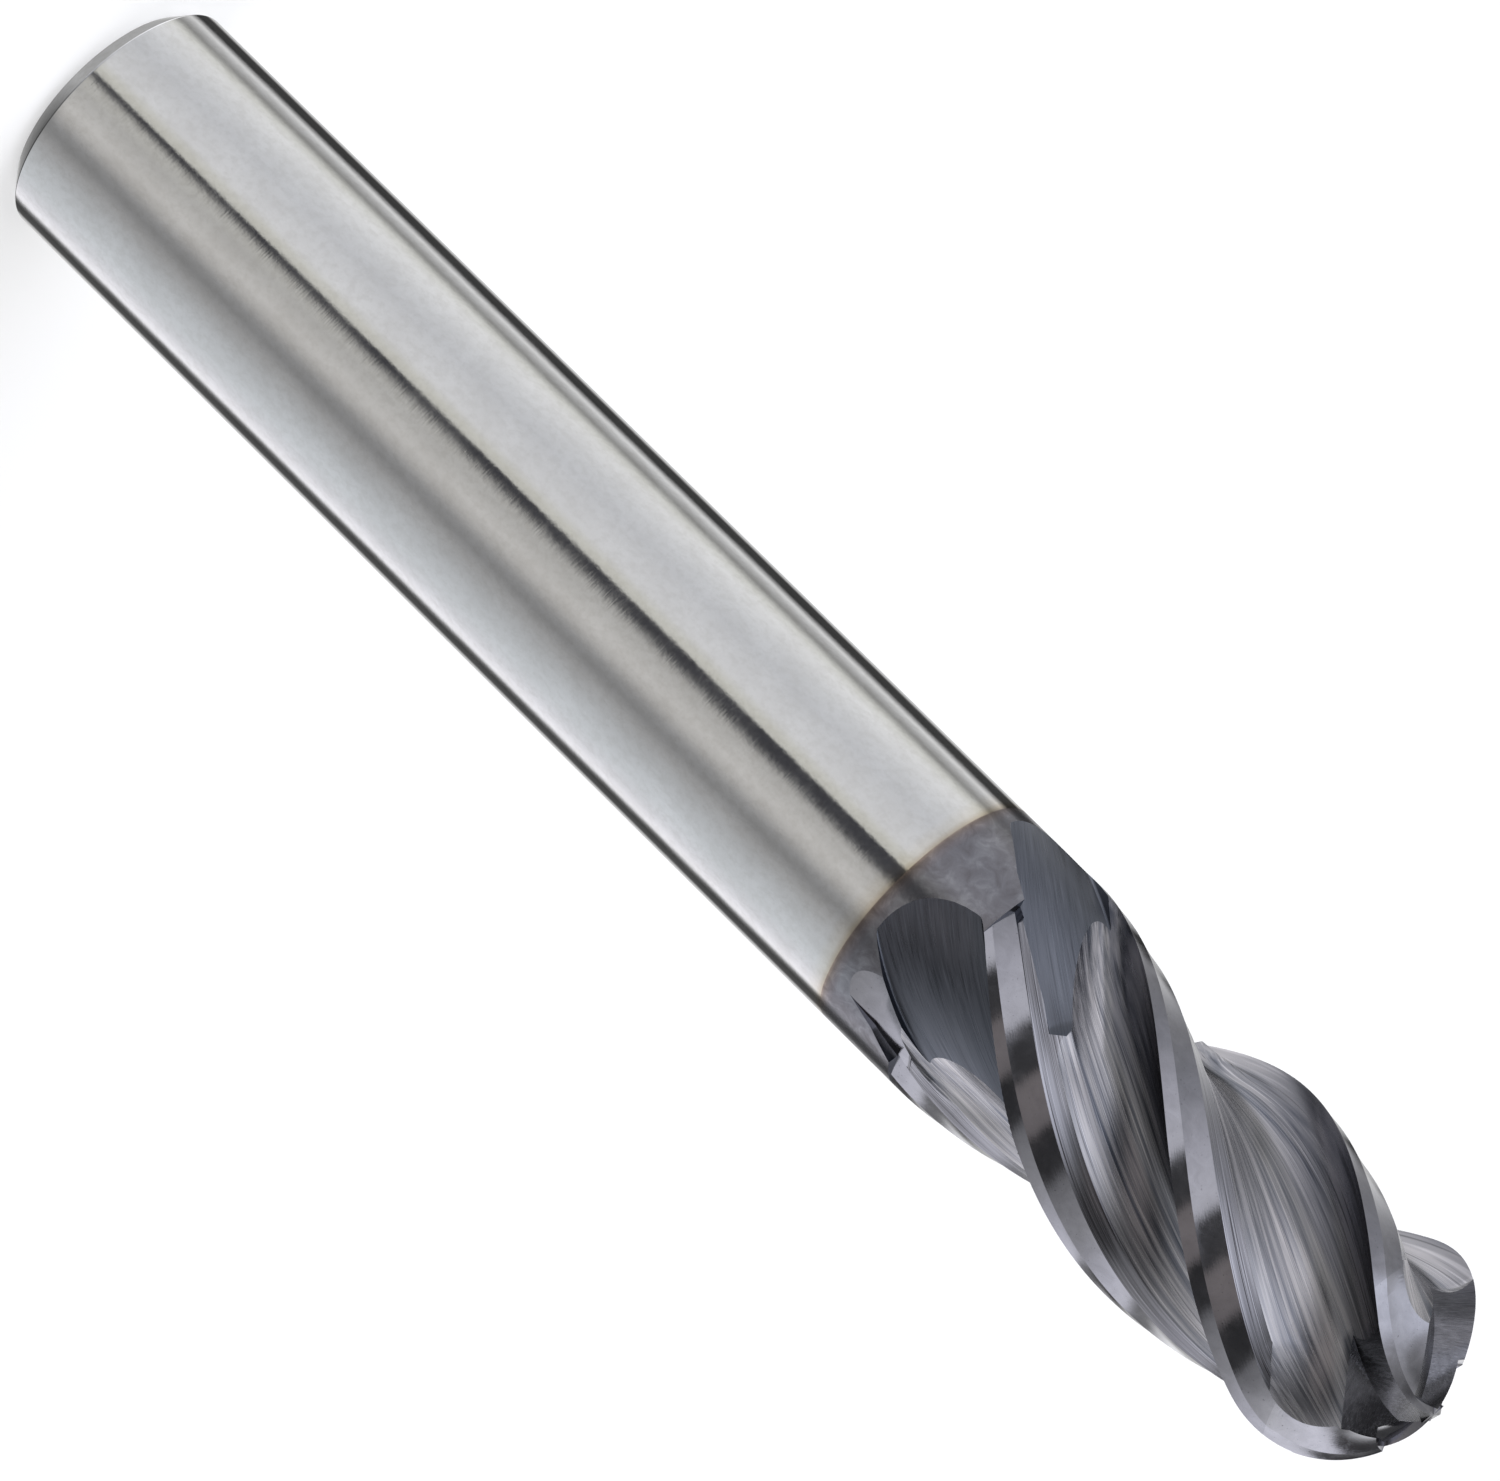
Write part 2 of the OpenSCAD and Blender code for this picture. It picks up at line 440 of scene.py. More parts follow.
def heel_cutter(tooth, slots):
    """Heel clearance behind the secondary relief, growing from nothing to its full slope."""
    turns = [math.radians(a) for a in HEEL_TURNS]
    rows = land_rows(HEEL_Z, HEEL_TOP)
    full_z = WIDE_HEEL_FULL_Z if is_wide(tooth - 1) else HEEL_FULL_Z

    def drop_of(a, up, height):
        way = max(0.0, min(1.0, (height - HEEL_Z) / (full_z - HEEL_Z)))
        flat = relief_drop(max(a, -PRIMARY - SECONDARY))
        return flat + (heel_drop(a) - flat) * way if a < -PRIMARY - SECONDARY else heel_drop(a)

    return land_cutter(f"heel_cutter_{tooth}", tooth, rows, turns, drop_of, lambda up: HEELS, slots)


HEEL_START_Z = 53.55
HEEL_START_RUN_IN = 0.3
HEEL_START_OVERLAP = 0.7
HEEL_START_STEP = 0.1
HEEL_START_TURN = 16.0  # degrees behind the edge, where the flat leaves the blank
HEEL_START_DRIFT = 3.6  # degrees further behind for each millimetre of height
HEEL_START_SLOPE = 0.175
HEEL_START_DEPTH = 0.66
HEEL_START_RISE = 0.5
HEEL_START_TILT = math.radians(7.2)
HEEL_START_WIDTHS = (0, 0.3, 0.6, 1.0, 1.5, 2.0, 2.6)
HEEL_START_WALL = 2.5


def heel_start_cutter(tooth, slots):
    """Shallow flat by which the heel clearance leaves the blank, with its own small shoulder."""
    rings = []
    for z in np.arange(HEEL_START_Z - HEEL_START_RUN_IN, HEEL_Z + HEEL_START_OVERLAP, HEEL_START_STEP):
        above = z - HEEL_START_Z
        behind = min(LAND - HEEL, math.radians(HEEL_START_TURN + HEEL_START_DRIFT * above))
        r = TOOL_R - min(HEEL_START_SLOPE * above, HEEL_START_DEPTH - HEEL_START_RISE * (z - HEEL_Z))
        turn = edge_turn(tooth, z) - behind
        out = polar(1.0, turn)
        back = polar(1.0, turn - math.pi / 2)
        along = math.cos(HEEL_START_TILT) * back - math.sin(HEEL_START_TILT) * out
        flat = [r * out + along * w for w in HEEL_START_WIDTHS]
        top = (r + HEEL_START_WALL) * out
        outer = [top + along * HEEL_START_WIDTHS[-1], top]
        rings.append([(*p, z) for p in flat + outer])
    return swept_solid(f"heel_start_cutter_{tooth}", rings, LANDS, RAMPS, slots)


GASH_Z = 78.6
GASH_STEP = 0.08
GASH_TILT = math.radians(27)  # of the rake face of the ball
GASH_WIDTH = 1.1
GASH_WEB = 0.35  # radius that the gashes leave standing at the tip
GASH_BACK = math.radians(84)
GASH_FACE_SHARES = (0, 0.5, 0.7, 0.85, 0.95)
GASH_BACK_SHARES = (0, 0.03, 0.08, 0.2, 0.4, 0.7, 1)
GASH_MARGIN = 0.6
FAR_OUTSIDE = 13.0


def gash_cutter(tooth, slots):
    """Notch that carries the flute on to the tip and gives the ball its sloped rake face."""
    tip = 0.35  # the last stretch, where the rings lie closer together
    heights = list(np.arange(GASH_Z, LENGTH - tip, GASH_STEP))
    heights += [LENGTH - tip * math.cos(a) for a in np.linspace(0, math.pi / 2, 24)]
    heights += [LENGTH + GASH_MARGIN]
    closing = [polar(FAR_OUTSIDE, math.radians(a)) for a in (60, 15)]
    rings = []
    for z in heights:
        r = ball_r(z)
        share = min(1.0, max(0.02, (r - GASH_WEB) * math.tan(GASH_TILT) / GASH_WIDTH))
        width = GASH_WIDTH * share
        corner = np.array([max(r, GASH_WEB) - width / math.tan(GASH_TILT), width])
        outer = corner + OUTSIDE * polar(1.0, -GASH_TILT)
        far = corner + OUTSIDE * polar(1.0, GASH_BACK)
        face = [outer + (corner - outer) * k for k in GASH_FACE_SHARES]
        back = [corner + (far - corner) * k for k in GASH_BACK_SHARES]
        section = np.array(face + back + closing)
        turn = edge_turn(tooth, z)
        spun = section @ np.array([[math.cos(turn), math.sin(turn)], [-math.sin(turn), math.cos(turn)]])
        rings.append(np.column_stack([spun, np.full(len(spun), z)]))
    return swept_solid(f"gash_cutter_{tooth}", rings, GASHES, GASHES, slots)


def round_blank(slots):
    """Cylinder with a ball end, before any grinding."""
    steps = np.linspace(0, math.pi / 2, 91)
    outline = [(0, SHANK_TOP)] + [(TOOL_R, z) for z in np.linspace(SHANK_TOP, EQUATOR_Z, 60)]
    outline += [(TOOL_R * math.cos(a), EQUATOR_Z + TOOL_R * math.sin(a)) for a in steps[1:-1]]
    outline += [(0, LENGTH)]
    return revolved_solid("head", outline, slots)


# --- Parting of the head along the CAD nodes ---

SECTOR_STEP = 0.2
SECTOR_POINTS = 25
SECTOR_R = 8.0


def bottom_turn(tooth, z):
    """Turn of the middle of the flute ahead of a tooth."""
    x, y = flute_curve(tooth, 3)[1]
    return edge_turn(tooth, z) + math.atan2(y, x)


def sector_solid(tooth, z_from, z_to, inner_r, slots):
    """Region of one tooth: between the bottoms of its two flutes, outside the core."""
    behind = (tooth - 1) % TEETH
    rings = []
    for z in np.linspace(z_from, z_to, int((z_to - z_from) / SECTOR_STEP) + 2):
        start, stop = bottom_turn(behind, z), bottom_turn(tooth, z)
        if tooth == 0:
            start -= 2 * math.pi
        turns = np.linspace(start, stop, SECTOR_POINTS)
        outer = [(*polar(SECTOR_R, a), z) for a in turns]
        inner = [(*polar(inner_r, a), z) for a in turns[::-1]] if inner_r > 0 else [(0.0, 0.0, z)]
        rings.append(outer + inner)
    return swept_solid(f"sector_{tooth}", rings, INNER, INNER, slots)


def slab_solid(z_from, z_to, slots):
    """Region between two heights."""
    ring = [polar(OUTSIDE, a) for a in np.linspace(0, 2 * math.pi, 64, endpoint=False)]
    return swept_solid("slab", [[(*p, z) for p in ring] for z in (z_from, z_to)], INNER, INNER, slots)


def part_of(head, name, region):
    """The part of the head inside a region, as a new piece; the region is used up."""
    piece = bpy.data.objects.new(name, head.data.copy())
    bpy.context.scene.collection.objects.link(piece)
    cut(piece, [region], "INTERSECT")
    discard([region])
    return piece


def read_vectors(data, name):
    """A vector attribute of every item, as rows."""
    values = np.empty(len(data) * 3)
    data.foreach_get(name, values)
    return values.reshape(-1, 3)


def triangle_corners(mesh):
    """The three vertex numbers of each triangle."""
    corners = np.empty(len(mesh.loops), np.int32)
    mesh.loops.foreach_get("vertex_index", corners)
    return corners.reshape(-1, 3)


def surface_of(obj, sharp):
    """What a cutter lends to the face it leaves: a search tree and the normals of its triangle corners."""
    mesh = obj.data
    mesh.shade_smooth()
    mesh.set_sharp_from_angle(angle=sharp)
    normals = read_vectors(mesh.corner_normals, "vector")
    points = read_vectors(mesh.vertices, "co")
    corners = triangle_corners(mesh)
    tree = BVHTree.FromPolygons(points.tolist(), corners.tolist(), all_triangles=True)
    return tree, points[corners], normals.reshape(-1, 3, 3)


def inside_shares(triangles, places):
    """Shares of the corners of each triangle at a place on it."""
    u = triangles[:, 1] - triangles[:, 0]
    v = triangles[:, 2] - triangles[:, 0]
    w = places - triangles[:, 0]
    uu, uv, vv = (u * u).sum(1), (u * v).sum(1), (v * v).sum(1)
    wu, wv = (w * u).sum(1), (w * v).sum(1)
    area = np.maximum(uu * vv - uv * uv, 1e-16)
    b = (vv * wu - uv * wv) / area
    c = (uu * wv - uv * wu) / area
    return np.clip(np.stack([1 - b - c, b, c], 1), 0, 1)


NEAR = 0.006  # a face this close to a cutter's surface was left by it
PULLED_IN = 0.04  # corners are read a little inside their triangle, clear of its neighbours
LEAST_LIKENESS = 0.3
WELD = 0.0004
SLIVER = 0.0003


def gaps_to(tree, middles):
    """Distance of each place to a surface, or more than NEAR."""
    found = [tree.find_nearest(middle, NEAR)[3] for middle in middles]
    return np.array([NEAR * 2 if gap is None else gap for gap in found])


def lent_normals(surface, places):
    """Normals of a cutter's surface at places that lie on it, turned to face out of the metal."""
    tree, triangles, normals = surface
    hits = [tree.find_nearest(place) for place in places]
    index = np.array([hit[2] for hit in hits])
    shares = inside_shares(triangles[index], np.array([hit[0] for hit in hits]))
    return -np.einsum("ij,ijk->ik", shares, normals[index])


def ground_normals(mesh, surfaces):
    """Gives every ground face the exact normals of the cutter that left it, so reflections run true."""
    points = read_vectors(mesh.vertices, "co")
    corners = triangle_corners(mesh)
    flats = read_vectors(mesh.polygons, "normal")
    slot = np.array([face.material_index for face in mesh.polygons])
    placed = points[corners]
    middles = placed.mean(1)
    made = np.repeat(flats[:, None], 3, axis=1)
    blank = slot == BODY
    out = placed[blank].copy()
    out[..., 2] = np.maximum(out[..., 2] - EQUATOR_Z, 0)
    made[blank] = out
    for index, own in surfaces.items():
        faces = np.nonzero(slot == index)[0]
        if len(faces) == 0:
            continue
        gaps = np.array([gaps_to(surface[0], middles[faces].tolist()) for surface in own])
        best = gaps.argmin(0)
        near = gaps.min(0) < NEAR
        for number, surface in enumerate(own):
            mine = faces[near & (best == number)]
            if len(mine):
                pulled = placed[mine] * (1 - PULLED_IN) + middles[mine][:, None] * PULLED_IN
                made[mine] = lent_normals(surface, pulled.reshape(-1, 3).tolist()).reshape(-1, 3, 3)
    made /= np.maximum(np.linalg.norm(made, axis=2, keepdims=True), 1e-9)
    astray = np.einsum("ijk,ik->ij", made, flats) < LEAST_LIKENESS
    made[astray] = np.repeat(flats[:, None], 3, axis=1)[astray]
    return made.reshape(-1, 3)


def finish_mesh(obj, surfaces):
    """Welds the cut mesh, gives it the cutters' normals and scales it to metres."""
    mesh = obj.data
    bm = bmesh.new()
    bm.from_mesh(mesh)
    bmesh.ops.remove_doubles(bm, verts=bm.verts, dist=WELD)
    bmesh.ops.dissolve_degenerate(bm, edges=bm.edges, dist=SLIVER)
    bmesh.ops.triangulate(bm, faces=bm.faces)
    bm.to_mesh(mesh)
    bm.free()
    mesh.update()
    normals = ground_normals(mesh, surfaces)
    mesh.shade_smooth()
    mesh.transform(Matrix.Scale(MM, 4))
    mesh.normals_split_custom_set(normals.tolist())
    mesh.update()


# --- Node helpers ---

def node(tree, kind, inputs=None, **settings):
    """A shader node with its settings; an input is a value or the socket that feeds it."""
    made = tree.nodes.new("ShaderNode" + kind)
    for name, value in settings.items():
        setattr(made, name, value)
    for key, value in (inputs or {}).items():
        if isinstance(value, bpy.types.NodeSocket):
            tree.links.new(value, made.inputs[key])
        else:
            made.inputs[key].default_value = value
    return made


def maths(tree, operation, *values):
    return node(tree, "Math", dict(enumerate(values)), operation=operation).outputs[0]


def remap(tree, value, low, high, to_low=0.0, to_high=1.0, smooth=True):
    """A value from one range taken to another, and held at its ends."""
    kind = "SMOOTHSTEP" if smooth else "LINEAR"
    feeds = {"Value": value, "From Min": low, "From Max": high, "To Min": to_low, "To Max": to_high}
    return node(tree, "MapRange", feeds, interpolation_type=kind).outputs[0]


def blend(tree, share, first, second, kind="MIX"):
    """Colour between two colours, which are values or sockets."""
    made = node(tree, "Mix", data_type="RGBA", blend_type=kind)
    for index, value in ((0, share), (6, first), (7, second)):
        if isinstance(value, bpy.types.NodeSocket):
            tree.links.new(value, made.inputs[index])
        else:
            made.inputs[index].default_value = value
    return made.outputs[2]


def noise(tree, place, sizes, detail, roughness=0.5, distortion=0.0):
    """Noise with features of the given sizes, in millimetres along each axis of its coordinates."""
    scale = [1 / (MM * size) for size in sizes]
    stretched = node(tree, "VectorMath", {0: place, 1: scale}, operation="MULTIPLY").outputs[0]
    feeds = {"Vector": stretched, "Scale": 1.0, "Detail": detail, "Roughness": roughness,
             "Distortion": distortion}
    return node(tree, "TexNoise", feeds).outputs["Fac"]


def ramp(tree, value, stops):
    """Colour ramp with (position, (r, g, b)) stops."""
    made = node(tree, "ValToRGB", {0: value})
    elements = made.color_ramp.elements
    for number, (place, colour) in enumerate(stops):
        stop = elements[number] if number < 2 else elements.new(place)
        stop.position = place
        stop.color = (*colour, 1)
    return made.outputs[0]


def object_place(tree):
    return node(tree, "TexCoord").outputs["Object"]


def split(tree, vector):
    """The three components of a vector."""
    return node(tree, "SeparateXYZ", {0: vector}).outputs


def untwisted(tree, degrees_per_mm):
    """Object coordinates turned back along a helix, so that marks stretched along z follow it."""
    place = object_place(tree)
    height = split(tree, place)[2]
    turn = maths(tree, "MULTIPLY", height, -math.radians(degrees_per_mm) / MM)
    feeds = {"Vector": place, "Angle": turn}
    return node(tree, "VectorRotate", feeds, rotation_type="Z_AXIS").outputs[0]


def arc_length(tree, rise, run):
    """Way along a circle of the tool's radius to the angle whose tangent is rise over run."""
    return maths(tree, "MULTIPLY", maths(tree, "ARCTAN2", rise, run), TOOL_R * MM)


def distance_from_axis(tree, x, y):
    squares = maths(tree, "ADD", maths(tree, "MULTIPLY", x, x), maths(tree, "MULTIPLY", y, y))
    return maths(tree, "SQRT", squares)


def along_helix(tree, degrees_per_mm):
    """Coordinates (way around, radius, height) that follow a helix, so that its marks can be drawn out."""
    x, y, z = split(tree, untwisted(tree, degrees_per_mm))
    around = arc_length(tree, y, x)
    return node(tree, "CombineXYZ", {0: around, 1: distance_from_axis(tree, x, y), 2: z}).outputs[0]


def fanned(tree):
    """Coordinates (way over the ball, way around, radius) for marks that fan out from its centre."""
    x, y, z = split(tree, object_place(tree))
    radius = distance_from_axis(tree, x, y)
    over = arc_length(tree, maths(tree, "SUBTRACT", z, EQUATOR_Z * MM), radius)
    return node(tree, "CombineXYZ", {0: over, 1: arc_length(tree, y, x), 2: radius}).outputs[0]


def bump(tree, height, depth, below=None):
    """Surface normal with a relief of the given depth in millimetres."""
    feeds = {"Height": height, "Distance": depth * MM, "Strength": 1.0}
    if below is not None:
        feeds["Normal"] = below
    return node(tree, "Bump", feeds).outputs[0]


def new_material(name):
    material = bpy.data.materials.new(name)
    material.use_nodes = True
    return material


def finish_metal(material, colour, rough, normal):
    """Makes a material metallic and feeds its shader."""
    tree = material.node_tree
    shader = tree.nodes["Principled BSDF"]
    shader.inputs["Metallic"].default_value = 1.0
    for key, socket in (("Base Color", colour), ("Roughness", rough), ("Normal", normal)):
        tree.links.new(socket, shader.inputs[key])
    return material


# --- Materials ---

CARBIDE = (0.735, 0.735, 0.738)
COAT = (0.188, 0.188, 0.208)


def shade(colour, factor):
    return tuple(factor * c for c in colour)


def edge_of_coat(tree):
    """Height above the edge of the coating in millimetres; the edge wanders a little around the tool."""
    place = object_place(tree)
    height = split(tree, place)[2]
    wander = noise(tree, place, (6, 6, 40), 3.0)
    above = maths(tree, "SUBTRACT", maths(tree, "DIVIDE", height, MM), SHANK_TOP)
    return maths(tree, "ADD", above, remap(tree, wander, 0.3, 0.7, -0.12, 0.12, smooth=False))


def ground_carbide():
    """Centreless-ground bare carbide: bright, a little cloudy, with faint marks around the shank."""
    material = new_material("ground_carbide_bright")
    tree = material.node_tree
    place = object_place(tree)
    clouds = noise(tree, place, (1.6, 1.6, 2.6), 4.0, 0.55, 0.3)
    grain = noise(tree, place, (0.16, 0.16, 0.16), 3.0, 0.6)
    rounds = noise(tree, place, (1.8, 1.8, 0.05), 3.0, 0.55)
    colour = ramp(tree, clouds, ((0.3, shade(CARBIDE, 0.93)), (0.7, (0.755, 0.758, 0.765))))
    mottle = noise(tree, place, (0.35, 0.35, 0.45), 4.0, 0.65)
    colour = blend(tree, remap(tree, mottle, 0.3, 0.62, 0.45, 0.0), colour, (0.6, 0.595, 0.585, 1))
    above = edge_of_coat(tree)
    straw = ((0.0, (1, 1, 1)), (0.55, (0.96, 0.93, 0.87)), (0.78, (0.78, 0.70, 0.58)),
             (1.0, (0.3, 0.25, 0.22)))
    tint = ramp(tree, remap(tree, above, -0.9, 0.15, smooth=False), straw)
    colour = blend(tree, 1.0, colour, tint, "MULTIPLY")
    rough = maths(tree, "ADD", remap(tree, clouds, 0.3, 0.7, 0.055, 0.10),
                  remap(tree, grain, 0.35, 0.7, 0.0, 0.03))
    normal = bump(tree, rounds, 0.0012, bump(tree, grain, 0.0014, bump(tree, clouds, 0.004)))
    return finish_metal(material, colour, rough, normal)


def coated_body():
    """Coating on the unground rim of the head: mottled violet grey, brown along its edge."""
    material = new_material("coated_body")
    tree = material.node_tree
    place = object_place(tree)
    clouds = noise(tree, place, (0.9, 0.9, 0.9), 4.0, 0.6, 0.8)
    grain = noise(tree, place, (0.14, 0.14, 0.14), 3.0, 0.6)
    colour = ramp(tree, clouds, ((0.3, (0.155, 0.15, 0.165)), (0.5, (0.207, 0.205, 0.228)),
                                 (0.7, (0.29, 0.293, 0.32))))
    above = edge_of_coat(tree)
    brown = ((0.0, (1.9, 1.5, 1.1)), (0.3, (1.0, 0.85, 0.72)), (0.65, (1.05, 0.98, 0.95)),
             (1.0, (1, 1, 1)))
    tint = ramp(tree, remap(tree, above, -0.15, 0.6, smooth=False), brown)
    colour = blend(tree, 1.0, colour, tint, "MULTIPLY")
    rough = remap(tree, clouds, 0.3, 0.7, 0.26, 0.18)
    normal = bump(tree, grain, 0.003, bump(tree, clouds, 0.006))
    return finish_metal(material, colour, rough, normal)


def coated_land(name, colour_from, colour_to):
    """Coated relief land: nearly a mirror, with fine droplets and faint grinding lines along the helix."""
    material = new_material(name)
    tree = material.node_tree
    place = object_place(tree)
    along = untwisted(tree, math.degrees(LEAD))
    clouds = noise(tree, place, (0.7, 0.7, 0.7), 3.0, 0.6, 0.6)
    pits = noise(tree, place, (0.09, 0.09, 0.09), 2.0, 0.5)
    lines = noise(tree, along, (0.07, 0.07, 2.5), 3.0, 0.6)
    colour = ramp(tree, clouds, ((0.3, colour_from), (0.7, colour_to)))
    specks = remap(tree, pits, 0.70, 0.76)
    colour = blend(tree, specks, colour, (0.05, 0.048, 0.055, 1))
    rough = remap(tree, clouds, 0.3, 0.7, 0.10, 0.17)
    normal = bump(tree, lines, 0.0012, bump(tree, pits, 0.0012))
    return finish_metal(material, colour, rough, normal)


def brushed(material, along, colours, depth, streak, rough, hair_shares):
    """Coated surface left by the rim of a wheel, with brushed lines drawn out along its path.

    Colours are the dark and light ends of the broad streaks, depth is the fine lines' in millimetres,
    streak is the coarse lines' width in millimetres, and the light and dark hairs have a share each.
    """
    tree = material.node_tree
    fine = noise(tree, along, (0.05, 0.5, 4.0), 3.0, 0.6)
    coarse = noise(tree, along, (streak, streak * 3, 8.0), 3.0, 0.6)
    hairs = noise(tree, along, (0.04, 0.5, 7.0), 2.0, 0.5)
    broad = noise(tree, along, (streak * 4, streak * 6, 12.0), 2.0, 0.5)
    mixed = maths(tree, "ADD", maths(tree, "MULTIPLY", coarse, 0.6), maths(tree, "MULTIPLY", broad, 0.4))
    colour = ramp(tree, mixed, ((0.36, colours[0]), (0.62, colours[1])))
    light_hairs = remap(tree, hairs, 0.56, 0.74, 0.0, hair_shares[0])
    dark_hairs = remap(tree, hairs, 0.44, 0.30, 0.0, hair_shares[1])
    colour = blend(tree, light_hairs, colour, (*shade(colours[1], 2.0), 1))
    colour = blend(tree, dark_hairs, colour, (*shade(colours[0], 0.25), 1))
    normal = bump(tree, fine, depth, bump(tree, coarse, depth * 4))
    shader = tree.nodes["Principled BSDF"]
    shader.inputs["Anisotropic"].default_value = 0.8
    across = node(tree, "Tangent", direction_type="RADIAL", axis="Z").outputs[0]
    tree.links.new(across, shader.inputs["Tangent"])
    return finish_metal(material, colour, remap(tree, coarse, 0.3, 0.7, rough, rough + 0.12), normal)


def coated_flute():
    """Flutes, with the strongest streaks, from dark slate to silver."""
    material = new_material("coated_flute")
    along = along_helix(material.node_tree, math.degrees(LEAD))
    colours = ((0.07, 0.078, 0.1), (0.40, 0.39, 0.405))
    return brushed(material, along, colours, depth=0.0016, streak=0.35, rough=0.2, hair_shares=(0.3, 0.6))


def coated_heel():
    """Heel clearance, with harder brush marks than the lands."""
    material = new_material("coated_heel")
    along = along_helix(material.node_tree, math.degrees(LEAD))
    colours = (shade(COAT, 0.55), shade(COAT, 1.25))
    return brushed(material, along, colours, depth=0.0015, streak=0.16, rough=0.13, hair_shares=(0.6, 0.9))


def coated_ramp_painted_shade():
    """The scoops by which the wheels left the flutes, and the walls where the reliefs start, dark slate: the
    coating darkened as painted shade.
    """
    material = new_material("coated_ramp_painted_shade")
    along = along_helix(material.node_tree, math.degrees(math.tan(RAMP_HELIX) / TOOL_R))
    # Painted shade: this dark slate is darker than the same coating on the lands.
    colours = ((0.088, 0.096, 0.116), (0.125, 0.134, 0.16))
    return brushed(material, along, colours, depth=0.0010, streak=0.15, rough=0.26, hair_shares=(0.25, 0.4))


def coated_gash_painted_shade():
    """Sloped faces of the notches on the ball, dark: the coating darkened as painted shade in the notches."""
    material = new_material("coated_gash_painted_shade")
    along = fanned(material.node_tree)
    # Painted shade: the notches get about half the coating's tone.
    colours = (shade(COAT, 0.4), shade(COAT, 0.62))
    return brushed(material, along, colours, depth=0.0010, streak=0.1, rough=0.18, hair_shares=(0.3, 0.4))


def bare_core():
    """Cut carbide inside the head, seen only when the pieces are drawn apart."""
    material = new_material("bare_core")
    tree = material.node_tree
    place = object_place(tree)
    grain = noise(tree, place, (0.1, 0.1, 0.1), 3.0)
    colour = ramp(tree, grain, ((0.3, (0.28, 0.28, 0.29)), (0.7, (0.36, 0.36, 0.37))))
    return finish_metal(material, colour, remap(tree, grain, 0.3, 0.7, 0.4, 0.55), bump(tree, grain, 0.004))


def make_slots():
    """Materials of the head, in the order of the surface indices."""
    return [coated_body(),
            coated_land("coated_land", shade(COAT, 0.95), shade(COAT, 1.15)),
            coated_land("coated_ball_land", shade(COAT, 1.1), shade(COAT, 1.35)),
            coated_heel(),
            coated_flute(),
            coated_ramp_painted_shade(),
            coated_gash_painted_shade(),
            bare_core()]


# --- Head ---

# Cutter edges sharper than this stay sharp: on the flat facets, and on the rounded cutters
FACET = math.radians(4.5)
ROUNDED = math.radians(20)


def make_head(slots):
    """The ground head and, by surface, the normals that its cutters leave."""
    head = round_blank(slots)
    tools = []
    surfaces = {slot: [] for slot in (LANDS, BALL_LANDS, HEELS, FLUTES, RAMPS, GASHES)}
    for tooth in range(TEETH):
        relief = relief_cutter(tooth, slots)
        heel = heel_cutter(tooth, slots)
        flute = flute_cutter(tooth, slots)
        scoop = ramp_cutter(tooth, slots)
        gash = gash_cutter(tooth, slots)
        tools += [heel, relief, flute, scoop, gash]
        relief_surface = surface_of(relief, FACET)
        surfaces[LANDS].append(relief_surface)
        surfaces[BALL_LANDS].append(relief_surface)
        surfaces[HEELS].append(surface_of(heel, FACET))
        surfaces[FLUTES].append(surface_of(flute, ROUNDED))
        surfaces[RAMPS].append(surface_of(scoop, ROUNDED))
        surfaces[GASHES].append(surface_of(gash, ROUNDED))
        if is_wide(tooth - 1):
            start = heel_start_cutter(tooth, slots)
            tools.append(start)
            surfaces[LANDS].append(surface_of(start, ROUNDED))
    cut(head, tools)
    discard(tools)
    return head, surfaces


def make_head_pieces(slots):
    """One piece for each coated CAD node, parted from the ground head."""
    head, surfaces = make_head(slots)
    collar = part_of(head, "run_out_collar_ground", slab_solid(SHANK_TOP - 1, TEETH_Z, slots))
    pieces = [(collar, "run_out_collar")]
    for tooth in range(TEETH):
        body = part_of(head, f"tooth_{tooth + 1}_ground",
                       sector_solid(tooth, TEETH_Z, EQUATOR_Z, CORE_R, slots))
        nose = part_of(head, f"nose_tooth_{tooth + 1}_ground",
                       sector_solid(tooth, EQUATOR_Z, LENGTH + 1, 0, slots))
        pieces += [(body, f"tooth_{tooth + 1}"), (nose, f"nose_tooth_{tooth + 1}")]
    discard([head])
    for piece, cad_node in pieces:
        finish_mesh(piece, surfaces)
        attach(piece, "root")
        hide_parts(cad_node)


def dress_core(material):
    """The core keeps its CAD mesh and takes the look of cut carbide."""
    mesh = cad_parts["core"].data
    mesh.materials.clear()
    mesh.materials.append(material)


# --- Camera ---

CAMERA_TILT = math.radians(18.9)  # looking down at the tool, which stands on its shank
CAMERA_DISTANCE = 521.34
CAMERA_AIM_Z = 41.24
CAMERA_SIDE = -0.034
CAMERA_LENS = 296.22
CAMERA_ROLL = math.radians(44.59)  # the tool lies across the picture from corner to corner


